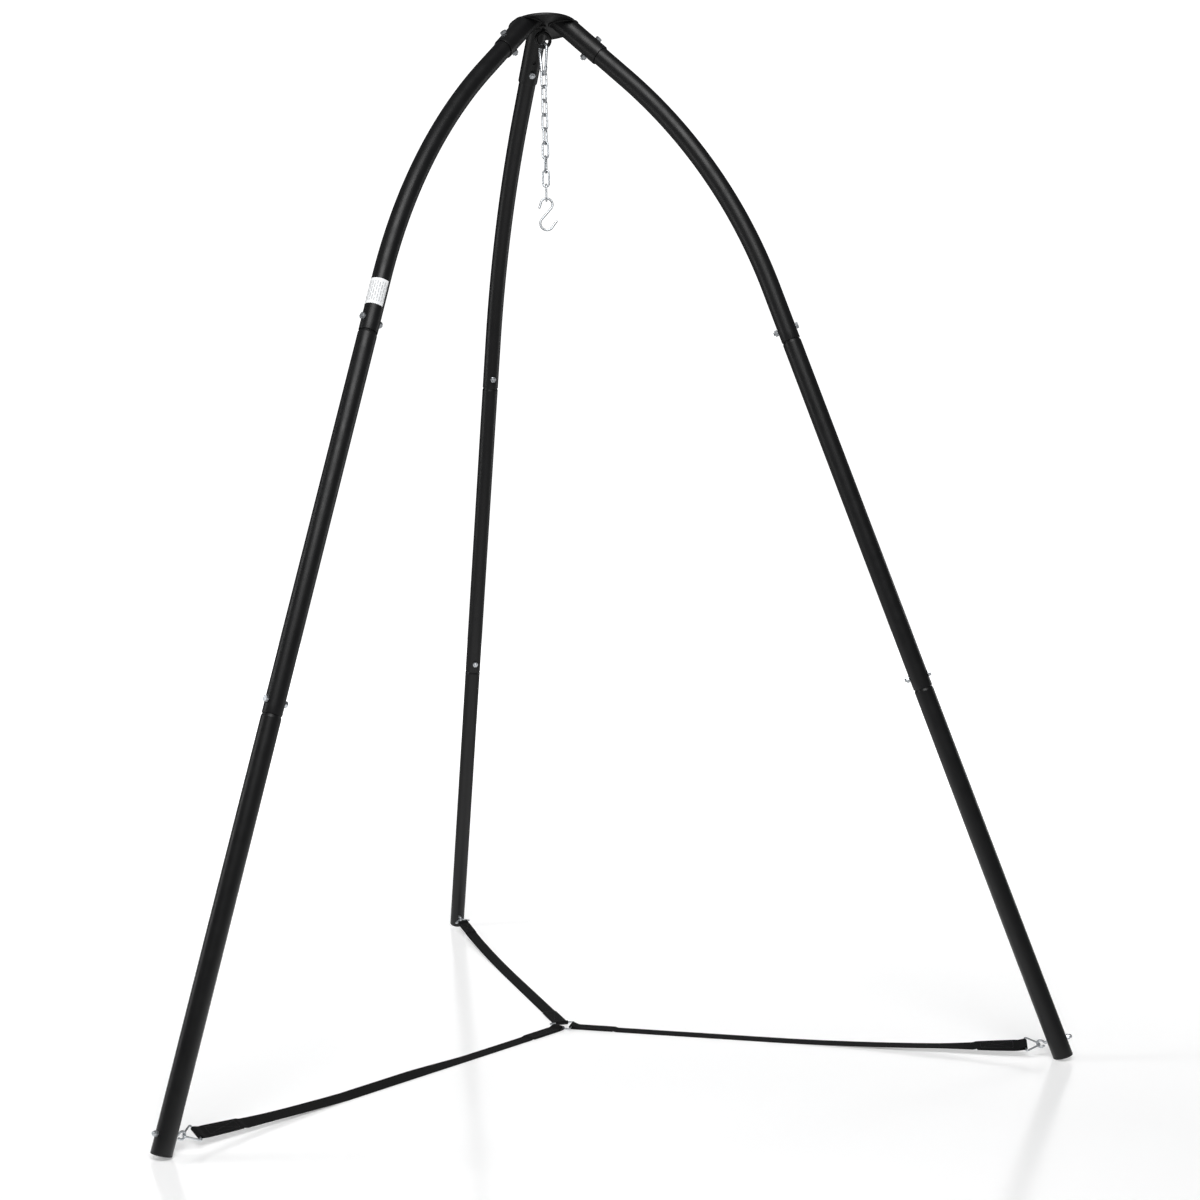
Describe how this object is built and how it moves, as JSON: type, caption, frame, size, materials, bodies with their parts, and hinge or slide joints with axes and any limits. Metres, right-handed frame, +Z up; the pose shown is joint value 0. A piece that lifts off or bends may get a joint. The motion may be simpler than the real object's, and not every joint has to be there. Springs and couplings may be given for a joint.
{
  "type": "tripod hanging chair stand",
  "caption": "Tripod stand of bent steel tubes with a hub, a hanging snap hook, chain and S-hook, and webbing straps that tie the feet together.",
  "frame": {"origin": "on the floor, at the middle of the stand's box; the hub's axis stands at x = 0, y = -0.262 m", "axes": "+Z up, +Y towards the rear foot, +X towards the right-hand front foot"},
  "size_m": [1.8584, 1.615, 2.267],
  "materials": {
    "painted_steel": "satin black powder coat",
    "plastic_cap": "moulded black plastic",
    "zinc": "bright zinc plating",
    "webbing": "woven black polyester webbing",
    "paper": "white paper label"
  },
  "bodies": {
    "frame": {"hub": "painted_steel", "hub_eye": "painted_steel", "centre_ring": "zinc", "upper_tube_left": "painted_steel", "middle_tube_left": "painted_steel", "lower_tube_left": "painted_steel", "foot_cap_left": "plastic_cap", "eye_bolt_left": "zinc", "dome_nut_left": "zinc", "triangle_ring_left": "zinc", "strap_left": "webbing", "hub_bolt_left": "zinc", "hub_nut_left": "zinc", "upper_bolt_left": "zinc", "upper_nut_left": "zinc", "lower_bolt_left": "zinc", "lower_nut_left": "zinc", "label": "paper", "upper_tube_right": "painted_steel", "middle_tube_right": "painted_steel", "lower_tube_right": "painted_steel", "foot_cap_right": "plastic_cap", "eye_bolt_right": "zinc", "dome_nut_right": "zinc", "triangle_ring_right": "zinc", "strap_right": "webbing", "hub_bolt_right": "zinc", "hub_nut_right": "zinc", "upper_bolt_right": "zinc", "upper_nut_right": "zinc", "lower_bolt_right": "zinc", "lower_nut_right": "zinc", "upper_tube_rear": "painted_steel", "middle_tube_rear": "painted_steel", "lower_tube_rear": "painted_steel", "foot_cap_rear": "plastic_cap", "eye_bolt_rear": "zinc", "dome_nut_rear": "zinc", "triangle_ring_rear": "zinc", "strap_rear": "webbing", "hub_bolt_rear": "zinc", "hub_nut_rear": "zinc", "upper_bolt_rear": "zinc", "upper_nut_rear": "zinc", "lower_bolt_rear": "zinc", "lower_nut_rear": "zinc"},
    "snap_hook": {"snap_hook_body": "zinc"},
    "snap_gate": {"snap_hook_gate": "zinc"},
    "link_1": {"chain_link_1": "zinc"},
    "link_2": {"chain_link_2": "zinc"},
    "link_3": {"chain_link_3": "zinc"},
    "link_4": {"chain_link_4": "zinc"},
    "link_5": {"chain_link_5": "zinc"},
    "link_6": {"chain_link_6": "zinc"},
    "link_7": {"chain_link_7": "zinc"},
    "link_8": {"chain_link_8": "zinc"},
    "link_9": {"chain_link_9": "zinc"},
    "s_hook": {"s_hook": "zinc"}
  },
  "joints": [
    {"name": "hook_swing", "type": "hinge", "parent": "frame", "child": "snap_hook", "pos_m": [0, -0.2624, 2.21429], "axis": [1, 0, 0], "range_deg": [-35, 35]},
    {"name": "gate_open", "type": "hinge", "parent": "snap_hook", "child": "snap_gate", "pos_m": [0.0024, -0.27082, 2.16611], "axis": [-0.9617, -0.274, 0], "range_deg": [0, 22], "stiffness_Nm_per_rad": 0.02, "springref_deg": -11.46},
    {"name": "link_1_swing", "type": "hinge", "parent": "snap_hook", "child": "link_1", "pos_m": [0, -0.2624, 2.15329], "axis": [-0.274, 0.9617, 0], "range_deg": [-50, 50]},
    {"name": "link_2_swing", "type": "hinge", "parent": "link_1", "child": "link_2", "pos_m": [0, -0.2624, 2.12259], "axis": [-0.9617, -0.274, 0], "range_deg": [-50, 50]},
    {"name": "link_3_swing", "type": "hinge", "parent": "link_2", "child": "link_3", "pos_m": [0, -0.2624, 2.09059], "axis": [0.3907, -0.9205, 0], "range_deg": [-50, 50]},
    {"name": "link_4_swing", "type": "hinge", "parent": "link_3", "child": "link_4", "pos_m": [0, -0.2624, 2.05859], "axis": [0.8652, 0.5015, 0], "range_deg": [-50, 50]},
    {"name": "link_5_swing", "type": "hinge", "parent": "link_4", "child": "link_5", "pos_m": [0, -0.2624, 2.02659], "axis": [-0.6046, 0.7965, 0], "range_deg": [-50, 50]},
    {"name": "link_6_swing", "type": "hinge", "parent": "link_5", "child": "link_6", "pos_m": [0, -0.2624, 1.99459], "axis": [-0.7157, -0.6984, 0], "range_deg": [-50, 50]},
    {"name": "link_7_swing", "type": "hinge", "parent": "link_6", "child": "link_7", "pos_m": [0, -0.2624, 1.96259], "axis": [0.7815, -0.6239, 0], "range_deg": [-50, 50]},
    {"name": "link_8_swing", "type": "hinge", "parent": "link_7", "child": "link_8", "pos_m": [0, -0.2624, 1.93059], "axis": [0.5225, 0.8526, 0], "range_deg": [-50, 50]},
    {"name": "link_9_swing", "type": "hinge", "parent": "link_8", "child": "link_9", "pos_m": [0, -0.2624, 1.89859], "axis": [-0.9107, 0.4131, 0], "range_deg": [-50, 50]},
    {"name": "s_hook_swing", "type": "hinge", "parent": "link_9", "child": "s_hook", "pos_m": [0, -0.2624, 1.86659], "axis": [-0.2974, -0.9548, 0], "range_deg": [-60, 60]}
  ]
}
